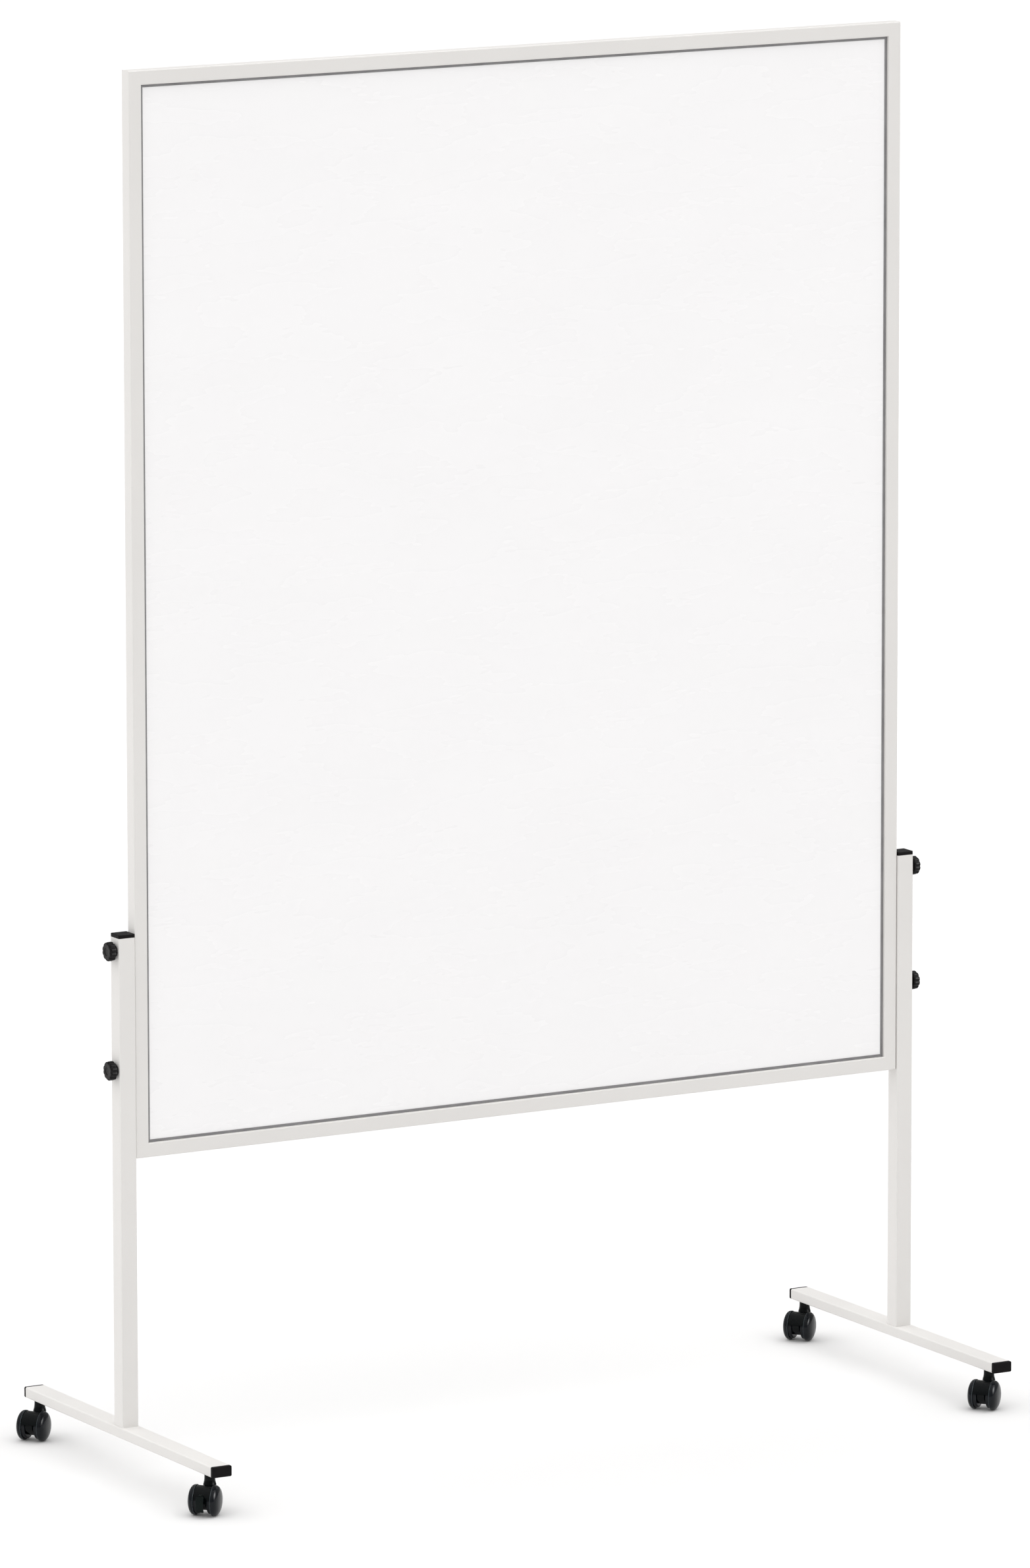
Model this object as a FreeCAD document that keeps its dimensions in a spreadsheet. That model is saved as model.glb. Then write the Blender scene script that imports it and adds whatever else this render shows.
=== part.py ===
import FreeCAD, Part
import math
import os
import re
import Sketcher

# Rolling whiteboard: a double-sided board in a square-tube frame, clamped by star knobs
# between two posts that stand on T-feet with twin-wheel swivel casters.
# Frame of the model: +X to the right, +Y to the back, +Z up.  The origin is on the floor,
# midway between the posts.  All sizes are millimetres, all angles are degrees.

doc = FreeCAD.newDocument("RollingWhiteboard")
sheet = doc.addObject("Spreadsheet::Sheet", "Sizes")

SIZES = (
    ("frame_width", 1225, "board frame, outside"),
    ("frame_height", 1500, "board frame, outside"),
    ("frame_lift", 376, "bottom of the board frame above the feet"),
    ("tube_side", 20, "square tube of the board frame"),
    ("tube_wall", 1.5, "wall of that tube"),
    ("tube_round", 1.6, "outer corner radius of every tube"),
    ("panel_thick", 10, "writing panel over both sheets"),
    ("steel_thick", 0.5, "one writing sheet"),
    ("channel_lip", 3.8, "edge channel, visible width"),
    ("channel_web", 1, "edge channel, wall against the frame"),
    ("channel_skin", 0.7, "edge channel, lip over a writing sheet"),
    ("post_side", 25, "square tube of a post"),
    ("post_wall", 1.5, "wall of that tube"),
    ("post_height", 686, "post above the foot bar"),
    ("post_gap", 0.5, "insert flange between the frame and a post"),
    ("foot_length", 548.4, "foot bar, without its end caps"),
    ("foot_width", 30, "foot bar"),
    ("foot_height", 15, "foot bar"),
    ("foot_wall", 1.5, "wall of the foot bar"),
    ("foot_round", 2, "corner radius of the foot bar"),
    ("cap_skin", 5, "end cap of a foot, outside the tube"),
    ("cap_top", 5, "cap of a post, outside the tube"),
    ("cap_plug", 6.5, "part of a cap inside its tube"),
    ("cap_play", 0.1, "clearance of a plug in its tube"),
    ("cap_round", 0.8, "edge radius of a cap"),
    ("base_plug_height", 20, "threaded plug in the lower end of a post"),
    ("bolt_pitch", 12, "the two foot bolts of a post"),
    ("bolt_across", 6, "foot bolt thread"),
    ("bolt_bite", 14, "foot bolt in the threaded plug"),
    ("bolt_head_across", 10.5, "foot bolt head"),
    ("bolt_head_tall", 3.3, "foot bolt head"),
    ("hole_play", 0.3, "radial clearance of a bolt or stud in a plain hole"),
    ("thread_play", 0.05, "radial clearance of a screw in its thread"),
    ("knob_low", 125, "lower knob above the bottom of the frame"),
    ("knob_pitch", 166.5, "upper knob above the lower one"),
    ("stud_across", 6, "clamping stud thread"),
    ("stud_bite", 11, "stud in the insert of the stile"),
    ("stud_root", 7, "stud moulded into the knob head"),
    ("insert_across", 9, "barrel of a stile insert"),
    ("insert_flange", 13, "flange of a stile insert"),
    ("insert_depth", 13, "stile insert, inside the tube"),
    ("washer_across", 17, "washer under a knob"),
    ("washer_thick", 1.3, "washer under a knob"),
    ("hub_across", 16, "knob hub"),
    ("hub_tall", 2, "knob hub"),
    ("knob_across", 27, "knob head over its lobes"),
    ("knob_tall", 10, "knob head"),
    ("lobe_count", 10, "lobes of the knob head"),
    ("scallop_across", 5.2, "valley between two lobes"),
    ("scallop_deep", 1.5, "depth of a valley"),
    ("knob_round", 1.8, "edge radius of the knob face"),
    ("foot_rise", 55, "underside of the foot bar above the floor"),
    ("front_stem_inset", 36, "front caster stem from the end of the foot, over the cap"),
    ("rear_stem_inset", 18, "rear caster stem from the end of the foot, over the cap"),
    ("stem_thread", 8, "caster stem thread"),
    ("stem_bite", 11, "stem thread above the foot's lower face"),
    ("stem_pin", 9, "plain pin that the caster turns on"),
    ("stem_reach", 22, "length of that pin"),
    ("collar_across", 12, "collar of the stem"),
    ("collar_tall", 1, "collar of the stem"),
    ("socket_across", 11, "barrel of a foot insert"),
    ("socket_flange", 14, "flange of a foot insert"),
    ("socket_skin", 0.5, "thickness of that flange"),
    ("socket_depth", 11.5, "foot insert above the foot's lower face"),
    ("run_play", 0.05, "radial clearance of a running fit"),
    ("side_play", 0.5, "gap between a moving face and its neighbour"),
    ("caster_trail", 22, "wheel axle behind the stem"),
    ("wheel_across", 42, "caster wheel"),
    ("wheel_wide", 16, "caster wheel"),
    ("wheel_crown", 2.6, "bulge of the wheel's outer face"),
    ("wheel_round", 6, "outer edge radius of a wheel"),
    ("wheel_edge", 0.9, "inner edge radius of a wheel"),
    ("axle_across", 5, "wheel axle"),
    ("axle_bite", 12, "axle inside each wheel"),
    ("web_wide", 12, "middle plate of the caster housing"),
    ("web_across", 27, "round lower part of that plate"),
    ("neck_across", 15, "neck around the stem"),
    ("skirt_across", 23, "foot of the neck"),
    ("skirt_low", 38, "foot of the neck above the floor"),
    ("skirt_high", 46.5, "top of the neck's flare above the floor"),
    ("hood_wide", 24, "hood over the wheels"),
    ("hood_play", 0.5, "hood clear of the wheels"),
    ("hood_skin", 1.5, "wall of the hood"),
    ("hood_edge", 4.8, "lower edge of the hood above the axle"),
    ("turn_front_left", 225, "direction in which that caster trails, from +X"),
    ("turn_rear_left", 220, "direction in which that caster trails, from +X"),
    ("turn_front_right", 221, "direction in which that caster trails, from +X"),
    ("turn_rear_right", 220, "direction in which that caster trails, from +X"),
    ("pedal_wide", 10.6, "brake pedal plate"),
    ("pedal_thick", 2.2, "brake pedal plate"),
    ("pedal_gap", 2, "pedal plate clear of the hood"),
    ("pedal_arm", 5, "arm of the pedal"),
    ("pedal_slot", 5.6, "slot for that arm"),
    ("pedal_pin", 3, "pin of the pedal"),
    ("pedal_boss", 6.4, "round end of the arm"),
    ("pedal_out", 8.8, "pedal pin behind the axle"),
    ("pedal_up", 8.8, "pedal pin above the axle"),
    ("notch_wide", 11.8, "notch of the hood around the pedal"),
    ("notch_from", 14, "front of that notch behind the axle"),
    # Places that follow from the sizes above.
    ("foot_top", "=foot_rise + foot_height", "top of the foot bars"),
    ("frame_low", "=foot_top + frame_lift", "underside of the board frame"),
    ("frame_mid", "=frame_low + frame_height / 2", "middle of the board frame"),
    ("panel_width", "=frame_width - 2 * tube_side - 2 * channel_web", "writing panel"),
    ("panel_height", "=frame_height - 2 * tube_side - 2 * channel_web", "writing panel"),
    ("post_place", "=frame_width / 2 + post_gap + post_side / 2", "post axis from the middle"),
    ("clamp_place", "=post_place + post_side / 2 + washer_thick", "knob seat from the middle"),
    ("front_stem_place", "=front_stem_inset - foot_length / 2 - cap_skin", "stem along Y"),
    ("rear_stem_place", "=foot_length / 2 + cap_skin - rear_stem_inset", "stem along Y"),
    ("collar_top", "=foot_rise - socket_skin", "top of the stem collar"),
    ("neck_top", "=collar_top - collar_tall - side_play", "top of the caster housing"),
    ("pin_low", "=collar_top - collar_tall - stem_reach", "lower end of the stem pin"),
    ("axle_rise", "=wheel_across / 2", "axle above the floor"),
    ("hood_inner", "=wheel_across / 2 + hood_play", "inner radius of the hood"),
    ("hood_outer", "=hood_inner + hood_skin", "outer radius of the hood"),
    ("pedal_inner", "=hood_outer + pedal_gap", "inner radius of the pedal plate"),
    ("pedal_outer", "=pedal_inner + pedal_thick", "outer radius of the pedal plate"),
)


# Where the caster stems stand along a foot: at its front end and at its rear end.
STEM_PLACE = {-1: "front_stem_place", 1: "rear_stem_place"}


def formula(text):
    """Write a size formula with every cell alias spelt out for an object of the document."""
    return re.sub(r"\b[a-z]+_\w+", lambda word: "Sizes." + word.group(0), str(text))


def fill_sheet():
    """Put every size in a row of the sheet: name, value, note."""
    for row, (alias, value, note) in enumerate(SIZES, start=1):
        sheet.set("A%d" % row, alias)
        sheet.set("B%d" % row, str(value))
        sheet.set("C%d" % row, note)
        sheet.setAlias("B%d" % row, alias)
    doc.recompute()


def value(alias):
    """The number that a cell holds."""
    return float(sheet.get(alias))


# --- small helpers ------------------------------------------------------------------------

TURNS = {
    "up": FreeCAD.Rotation(),
    "down": FreeCAD.Rotation(FreeCAD.Vector(0, 1, 0), 180),
    "right": FreeCAD.Rotation(FreeCAD.Vector(0, 1, 0), 90),
    "left": FreeCAD.Rotation(FreeCAD.Vector(0, 1, 0), -90),
    "front": FreeCAD.Rotation(FreeCAD.Vector(1, 0, 0), 90),
    "back": FreeCAD.Rotation(FreeCAD.Vector(1, 0, 0), -90),
}


def place(thing, x="0", y="0", z="0", facing="up"):
    """Turn an object's own +Z to a side and bind its place to formulas."""
    thing.Placement = FreeCAD.Placement(FreeCAD.Vector(), TURNS[facing])
    for axis, text in zip("xyz", (x, y, z)):
        thing.setExpression("Placement.Base." + axis, formula(text))
    return thing


def bind(thing, **sizes):
    """Bind properties of an object to formulas."""
    for name, text in sizes.items():
        thing.setExpression(name, formula(text))
    return thing


def new_body(name):
    """A PartDesign body that carries its own label."""
    body = doc.addObject("PartDesign::Body", name)
    body.Label = name
    return body


def new_sketch(body, role, shift="0"):
    """A sketch on one of the body's own origin planes, moved along its normal."""
    planes = [item for item in body.Origin.OriginFeatures if item.Role == role]
    sketch = body.newObject("Sketcher::SketchObject", body.Name + "_sketch")
    sketch.AttachmentSupport = (planes[0], [""])
    sketch.MapMode = "FlatFace"
    sketch.setExpression("AttachmentOffset.Base.z", formula(shift))
    return sketch


def pin_point(sketch, item, point, across, up):
    """Hold one point of a sketch at two distances from the sketch's origin."""
    where = sketch.getPoint(item, point)
    for kind, text, now in (("DistanceX", across, where.x), ("DistanceY", up, where.y)):
        index = sketch.addConstraint(Sketcher.Constraint(kind, -1, 1, item, point, now))
        sketch.setExpression("Constraints[%d]" % index, formula(text))


def polygon(sketch, corners):
    """A closed outline whose corners are pairs of formulas."""
    count = len(corners)
    first = sketch.GeometryCount
    start = [FreeCAD.Vector(math.cos(2 * math.pi * k / count),
                            math.sin(2 * math.pi * k / count), 0) for k in range(count)]
    for k in range(count):
        sketch.addGeometry(Part.LineSegment(start[k], start[(k + 1) % count]))
    for k in range(count):
        follower = first + (k + 1) % count
        sketch.addConstraint(Sketcher.Constraint("Coincident", first + k, 2, follower, 1))
    for k, (across, up) in enumerate(corners):
        pin_point(sketch, first + k, 1, across, up)


def rectangle(sketch, left, low, right, high):
    """A rectangle between two pairs of formulas."""
    polygon(sketch, ((left, low), (right, low), (right, high), (left, high)))


def circle(sketch, across, up, radius):
    """A circle whose centre and radius are formulas."""
    item = sketch.addGeometry(Part.Circle(FreeCAD.Vector(1, 1, 0), FreeCAD.Vector(0, 0, 1), 1))
    pin_point(sketch, item, 3, across, up)
    index = sketch.addConstraint(Sketcher.Constraint("Radius", item, 1.0))
    sketch.setExpression("Constraints[%d]" % index, formula(radius))


def pad(body, sketch, length, both=False, back=False):
    """Raise a sketch to a solid, to both sides of its plane or backwards if asked."""
    feature = body.newObject("PartDesign::Pad", body.Name + "_pad")
    feature.Profile = sketch
    feature.Midplane = both
    feature.Reversed = back
    feature.setExpression("Length", formula(length))
    return feature


def pocket(body, sketch, depth, both=False, back=False):
    """Cut a sketch out of the body and make sure that material went away."""
    doc.recompute()
    before = body.Shape.Volume
    feature = body.newObject("PartDesign::Pocket", body.Name + "_pocket")
    feature.Profile = sketch
    feature.Midplane = both
    feature.Reversed = back
    feature.setExpression("Length", formula(depth))
    doc.recompute()
    if not body.Shape.Volume < before:
        raise RuntimeError("pocket cuts nothing: " + feature.Name)
    return feature


def round_edges(body, radius, wanted):
    """Round the edges of the body's last feature that a test accepts."""
    doc.recompute()
    tip = body.Tip
    names = ["Edge%d" % number for number, edge in enumerate(tip.Shape.Edges, start=1)
             if wanted(edge)]
    feature = body.newObject("PartDesign::Fillet", body.Name + "_round")
    feature.Base = (tip, names)
    feature.setExpression("Radius", formula(radius))
    doc.recompute()
    return feature


def is_straight_along(axis):
    """A test for straight edges that run along one axis of the body."""
    def wanted(edge):
        run = edge.Vertexes[-1].Point - edge.Vertexes[0].Point
        straight = edge.Curve.TypeId == "Part::GeomLine"
        return straight and abs(abs(run.getAngle(axis) / math.pi - 0.5) - 0.5) < 1e-6
    return wanted


def turned(name, outline):
    """A turned piece: an outline of (radius, height) formulas about the body's own Z."""
    body = new_body(name)
    sketch = new_sketch(body, "XZ_Plane")
    polygon(sketch, outline)
    feature = body.newObject("PartDesign::Revolution", name + "_turn")
    feature.Profile = sketch
    feature.ReferenceAxis = (sketch, ["V_Axis"])
    feature.Angle = 360
    doc.recompute()
    return body


def primitive(kind, name, **sizes):
    """A Part primitive whose sizes are formulas."""
    return bind(doc.addObject("Part::" + kind, name), **sizes)


def block(name, x, y, z, length, width, height):
    """A box from its low corner and its three sizes."""
    return place(primitive("Box", name, Length=length, Width=width, Height=height), x, y, z)


def drum(name, radius, width, x, z):
    """A cylinder across the caster, centred on its middle plane."""
    solid = primitive("Cylinder", name, Radius=radius, Height=width)
    return place(solid, x, "0 - (%s) / 2" % width, z, "back")


def joined(name, *solids):
    """One solid from several."""
    feature = doc.addObject("Part::MultiFuse", name)
    feature.Shapes = list(solids)
    feature.Refine = True
    return feature


def without(name, base, tool):
    """A solid with another taken away."""
    feature = doc.addObject("Part::Cut", name)
    feature.Base = base
    feature.Tool = tool
    return feature


def shared(name, first, second):
    """What two solids have in common."""
    feature = doc.addObject("Part::MultiCommon", name)
    feature.Shapes = [first, second]
    return feature


def group(name, pieces):
    """Separate identical pieces under one label."""
    feature = doc.addObject("Part::Compound", name)
    feature.Links = pieces
    return feature


NODES = []


def keep(thing, name=None):
    """Count an object as a sub-part of the whiteboard."""
    if name:
        thing.Label = name
    NODES.append(thing)
    return thing


# --- board --------------------------------------------------------------------------------

# Every side of the board is mitred at 45 degrees.  Each is drawn with its outer face at the
# height 0 of its own frame, and is then turned to its side of the board.
BOARD_SIDES = (
    ("top", "frame_width", "up", 1),
    ("bottom", "frame_width", "down", 1),
    ("left", "frame_height", "left", -1),
    ("right", "frame_height", "right", 1),
)


def mitred(body, length, near, far, thick, cut=False):
    """A mitred bar between two depths below its outer face, added or cut away."""
    sketch = new_sketch(body, "XZ_Plane")
    polygon(sketch, (
        ("(%s) / 2 - (%s)" % (length, near), "0 - (%s)" % near),
        ("(%s) / 2 - (%s)" % (length, far), "0 - (%s)" % far),
        ("(%s) - (%s) / 2" % (far, length), "0 - (%s)" % far),
        ("(%s) - (%s) / 2" % (near, length), "0 - (%s)" % near),
    ))
    return pocket(body, sketch, thick, True) if cut else pad(body, sketch, thick, True)


def to_board_side(thing, facing, inset="0"):
    """Put a mitred piece against its side of the board."""
    across = "frame_width / 2 - (%s)" % inset
    up = "frame_height / 2 - (%s)" % inset
    spots = {
        "up": ("0", "frame_mid + " + up),
        "down": ("0", "frame_mid - (%s)" % up),
        "right": (across, "frame_mid"),
        "left": ("0 - (%s)" % across, "frame_mid"),
    }
    x, z = spots[facing]
    return place(thing, x, "0", z, facing)


def frame_tube(side, length, facing, head):
    """One mitred square tube of the frame; a stile also gets its two insert holes."""
    is_stile = side in ("left", "right")
    body = new_body("frame_%s_%s" % (side, "stile" if is_stile else "rail"))
    mitred(body, length, "0", "tube_side", "tube_side")
    round_edges(body, "tube_round", is_straight_along(FreeCAD.Vector(1, 0, 0)))
    mitred(body, length, "tube_wall", "tube_side - tube_wall", "tube_side - 2 * tube_wall", True)
    if is_stile:
        sketch = new_sketch(body, "XY_Plane")
        for extra in ("0", "knob_pitch"):
            along = "%d * (frame_height / 2 - knob_low - %s)" % (head, extra)
            circle(sketch, along, "0", "insert_across / 2")
        pocket(body, sketch, "2 * tube_wall")
    return keep(to_board_side(body, facing))


def edge_channel(side, length, facing):
    """One mitred U channel that holds the panel's edge."""
    inner = "%s - 2 * tube_side" % length
    body = new_body("edge_channel_" + side)
    mitred(body, inner, "0", "channel_lip", "panel_thick + 2 * channel_skin")
    mitred(body, inner, "channel_web", "channel_lip", "panel_thick", True)
    return keep(to_board_side(body, facing, "tube_side"))


def panel_layer(name, front, thick):
    """One layer of the writing panel, from its front face backwards."""
    layer = block(name, "0 - panel_width / 2", front, "frame_mid - panel_height / 2",
                  "panel_width", thick, "panel_height")
    return keep(layer, name)


def build_board():
    """Frame, writing panel, edge channels and the inserts that the knobs screw into."""
    for side, length, facing, head in BOARD_SIDES:
        frame_tube(side, length, facing, head)
        edge_channel(side, length, facing)
    panel_layer("front_writing_sheet", "0 - panel_thick / 2", "steel_thick")
    panel_layer("panel_core", "steel_thick - panel_thick / 2", "panel_thick - 2 * steel_thick")
    panel_layer("rear_writing_sheet", "panel_thick / 2 - steel_thick", "steel_thick")
    inserts = []
    for side, sign in (("left", -1), ("right", 1)):
        for level, extra in (("lower", "0"), ("upper", "knob_pitch")):
            body = turned("stile_insert_%s_%s" % (side, level), (
                ("stud_across / 2 + thread_play", "post_gap"),
                ("insert_flange / 2", "post_gap"),
                ("insert_flange / 2", "0"),
                ("insert_across / 2", "0"),
                ("insert_across / 2", "0 - insert_depth"),
                ("stud_across / 2 + thread_play", "0 - insert_depth"),
            ))
            inserts.append(place(body, "%d * frame_width / 2" % sign, "0",
                                 "frame_low + knob_low + " + extra, side))
    keep(group("frame_thread_inserts", inserts))


# --- stand --------------------------------------------------------------------------------

def build_post(side, sign):
    """A square-tube post with the four stud holes."""
    body = new_body(side + "_post")
    outline = new_sketch(body, "XY_Plane")
    rectangle(outline, "0 - post_side / 2", "0 - post_side / 2", "post_side / 2", "post_side / 2")
    pad(body, outline, "post_height")
    round_edges(body, "tube_round", is_straight_along(FreeCAD.Vector(0, 0, 1)))
    inside = new_sketch(body, "XY_Plane")
    reach = "post_side / 2 - post_wall"
    rectangle(inside, "0 - (%s)" % reach, "0 - (%s)" % reach, reach, reach)
    pocket(body, inside, "post_height", back=True)
    holes = new_sketch(body, "YZ_Plane")
    for extra in ("0", "knob_pitch"):
        circle(holes, "0", "frame_lift + knob_low + " + extra, "stud_across / 2 + hole_play")
    pocket(body, holes, "post_side * 2", both=True)
    return keep(place(body, "%d * post_place" % sign, "0", "foot_top"))


def tube_cap(name, wide, deep, wall, skin, corner):
    """A cap with a plug: its own +Z points out of the tube."""
    body = new_body(name)
    face = new_sketch(body, "XY_Plane")
    rectangle(face, "0 - %s / 2" % wide, "0 - %s / 2" % deep, "%s / 2" % wide, "%s / 2" % deep)
    pad(body, face, skin)
    round_edges(body, corner, is_straight_along(FreeCAD.Vector(0, 0, 1)))
    height = value(skin)
    round_edges(body, "cap_round", lambda edge: edge.BoundBox.ZMin > height - 1e-6)
    plug = new_sketch(body, "XY_Plane")
    across = "(%s / 2 - %s - cap_play)" % (wide, wall)
    up = "(%s / 2 - %s - cap_play)" % (deep, wall)
    rectangle(plug, "0 - " + across, "0 - " + up, across, up)
    pad(body, plug, "cap_plug", back=True)
    return body


def build_foot(side, sign):
    """A foot bar with its bolt and insert holes, and a cap in each end."""
    x = "%d * post_place" % sign
    body = new_body(side + "_foot_bar")
    outline = new_sketch(body, "XZ_Plane")
    rectangle(outline, "0 - foot_width / 2", "0", "foot_width / 2", "foot_height")
    pad(body, outline, "foot_length", both=True)
    round_edges(body, "foot_round", is_straight_along(FreeCAD.Vector(0, 1, 0)))
    inside = new_sketch(body, "XZ_Plane")
    rectangle(inside, "foot_wall - foot_width / 2", "foot_wall",
              "foot_width / 2 - foot_wall", "foot_height - foot_wall")
    pocket(body, inside, "foot_length", both=True)
    bolts = new_sketch(body, "XY_Plane")
    sockets = new_sketch(body, "XY_Plane")
    for way in (-1, 1):
        circle(bolts, "0", "%d * bolt_pitch / 2" % way, "bolt_across / 2 + hole_play")
        circle(sockets, "0", STEM_PLACE[way], "socket_across / 2")
    pocket(body, bolts, "foot_height", back=True)
    pocket(body, sockets, "2 * foot_wall", back=True)
    keep(place(body, x, "0", "foot_rise"))
    for end, way, facing in (("front", -1, "front"), ("rear", 1, "back")):
        cap = tube_cap("%s_foot_%s_cap" % (side, end), "foot_width", "foot_height",
                       "foot_wall", "cap_skin", "foot_round")
        keep(place(cap, x, "%d * foot_length / 2" % way, "foot_rise + foot_height / 2", facing))


def build_post_ends(side, sign):
    """The cap on a post and the threaded plug in its lower end."""
    x = "%d * post_place" % sign
    cap = tube_cap(side + "_post_cap", "post_side", "post_side", "post_wall", "cap_top",
                   "tube_round")
    keep(place(cap, x, "0", "foot_top + post_height"))
    body = new_body(side + "_post_base_plug")
    outline = new_sketch(body, "XY_Plane")
    reach = "(post_side / 2 - post_wall - cap_play)"
    rectangle(outline, "0 - " + reach, "0 - " + reach, reach, reach)
    pad(body, outline, "base_plug_height")
    threads = new_sketch(body, "XY_Plane")
    for way in (-1, 1):
        circle(threads, "0", "%d * bolt_pitch / 2" % way, "bolt_across / 2 + thread_play")
    pocket(body, threads, "base_plug_height", back=True)
    keep(place(body, x, "0", "foot_top"))


def build_foot_bolts():
    """Two pan-head bolts through each foot bar into the plug of its post."""
    bolts = []
    for side, sign in (("left", -1), ("right", 1)):
        for end, way in (("front", -1), ("rear", 1)):
            body = turned("foot_bolt_%s_%s" % (side, end), (
                ("0", "0 - bolt_head_tall"),
                ("bolt_head_across / 2 - 1", "0 - bolt_head_tall"),
                ("bolt_head_across / 2", "1 - bolt_head_tall"),
                ("bolt_head_across / 2", "0"),
                ("bolt_across / 2", "0"),
                ("bolt_across / 2", "foot_height + bolt_bite"),
                ("0", "foot_height + bolt_bite"),
            ))
            bolts.append(place(body, "%d * post_place" % sign, "%d * bolt_pitch / 2" % way,
                               "foot_rise"))
    keep(group("foot_bolts", bolts))


def build_stand():
    """Both T-shaped legs without their casters."""
    for side, sign in (("left", -1), ("right", 1)):
        build_post(side, sign)
        build_post_ends(side, sign)
        build_foot(side, sign)
    build_foot_bolts()


# --- clamping knobs -----------------------------------------------------------------------

def knob_head(name):
    """A lobed knob head on a hub; its own +Z points away from the post."""
    body = new_body(name)
    head = new_sketch(body, "XY_Plane", "hub_tall")
    circle(head, "0", "0", "knob_across / 2")
    pad(body, head, "knob_tall")
    valley = new_sketch(body, "XY_Plane", "hub_tall")
    circle(valley, "knob_across / 2 + scallop_across / 2 - scallop_deep", "0",
           "scallop_across / 2")
    cut = pocket(body, valley, "knob_tall", back=True)
    ring = body.newObject("PartDesign::PolarPattern", name + "_lobes")
    ring.Originals = [cut]
    ring.Axis = (head, ["N_Axis"])
    ring.Angle = 360
    ring.setExpression("Occurrences", formula("lobe_count"))
    body.Tip = ring
    face = value("hub_tall") + value("knob_tall")
    round_edges(body, "knob_round", lambda edge: edge.BoundBox.ZMin > face - 1e-6)
    hub = new_sketch(body, "XY_Plane")
    circle(hub, "0", "0", "hub_across / 2")
    pad(body, hub, "hub_tall")
    seat = new_sketch(body, "XY_Plane")
    circle(seat, "0", "0", "stud_across / 2")
    pocket(body, seat, "hub_tall + stud_root", back=True)
    return body


def build_clamps():
    """The four knobs, each with its stud and washer, outside the posts."""
    for side, sign in (("left", -1), ("right", 1)):
        x = "%d * clamp_place" % sign
        for level, extra in (("lower", "0"), ("upper", "knob_pitch")):
            z = "frame_low + knob_low + " + extra
            stem = "%s_%s_" % (side, level)
            keep(place(knob_head(stem + "knob"), x, "0", z, side))
            stud = turned(stem + "knob_stud", (
                ("0", "hub_tall + stud_root"),
                ("0", "0 - washer_thick - post_side - post_gap - stud_bite"),
                ("stud_across / 2", "0 - washer_thick - post_side - post_gap - stud_bite"),
                ("stud_across / 2", "hub_tall + stud_root"),
            ))
            keep(place(stud, x, "0", z, side))
            washer = turned(stem + "knob_washer", (
                ("stud_across / 2 + hole_play", "0"),
                ("stud_across / 2 + hole_play", "0 - washer_thick"),
                ("washer_across / 2", "0 - washer_thick"),
                ("washer_across / 2", "0"),
            ))
            keep(place(washer, x, "0", z, side))


# --- casters ------------------------------------------------------------------------------

# A caster is drawn with its stem on the vertical axis, its wheels trailing towards +X and the
# floor at the height 0, and is then turned about its stem and put under its foot.
CASTERS = (
    ("front_left", -1, -1, True),
    ("rear_left", -1, 1, False),
    ("front_right", 1, -1, False),
    ("rear_right", 1, 1, False),
)


def swing(thing, corner, sign, way, along="0", across="0", up="0"):
    """Turn a caster piece about its stem and bind its place to the foot."""
    turn = "turn_" + corner
    thing.Placement = FreeCAD.Placement(FreeCAD.Vector(), FreeCAD.Rotation(FreeCAD.Vector(0, 0, 1), 90))
    thing.setExpression("Placement.Rotation.Angle", formula(turn))
    x = "%d * post_place + (%s) * cos(%s) - (%s) * sin(%s)" % (sign, along, turn, across, turn)
    y = "%s + (%s) * sin(%s) + (%s) * cos(%s)" % (STEM_PLACE[way], along, turn, across, turn)
    for axis, text in zip("xyz", (x, y, up)):
        thing.setExpression("Placement.Base." + axis, formula(text))
    return thing


def caster_stem(corner, sign, way):
    """Threaded stem with a collar and the plain pin that the housing turns on."""
    body = turned(corner + "_caster_stem", (
        ("0", "pin_low"),
        ("stem_pin / 2", "pin_low"),
        ("stem_pin / 2", "collar_top - collar_tall"),
        ("collar_across / 2", "collar_top - collar_tall"),
        ("collar_across / 2", "collar_top"),
        ("stem_thread / 2", "collar_top"),
        ("stem_thread / 2", "foot_rise + stem_bite"),
        ("0", "foot_rise + stem_bite"),
    ))
    return keep(swing(body, corner, sign, way))


def foot_socket(corner, sign, way):
    """Threaded insert in the underside of the foot bar."""
    body = turned(corner + "_foot_socket", (
        ("stem_thread / 2 + thread_play", "0 - socket_skin"),
        ("socket_flange / 2", "0 - socket_skin"),
        ("socket_flange / 2", "0"),
        ("socket_across / 2", "0"),
        ("socket_across / 2", "socket_depth"),
        ("stem_thread / 2 + thread_play", "socket_depth"),
    ))
    return place(body, "%d * post_place" % sign, STEM_PLACE[way], "foot_rise")


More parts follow.
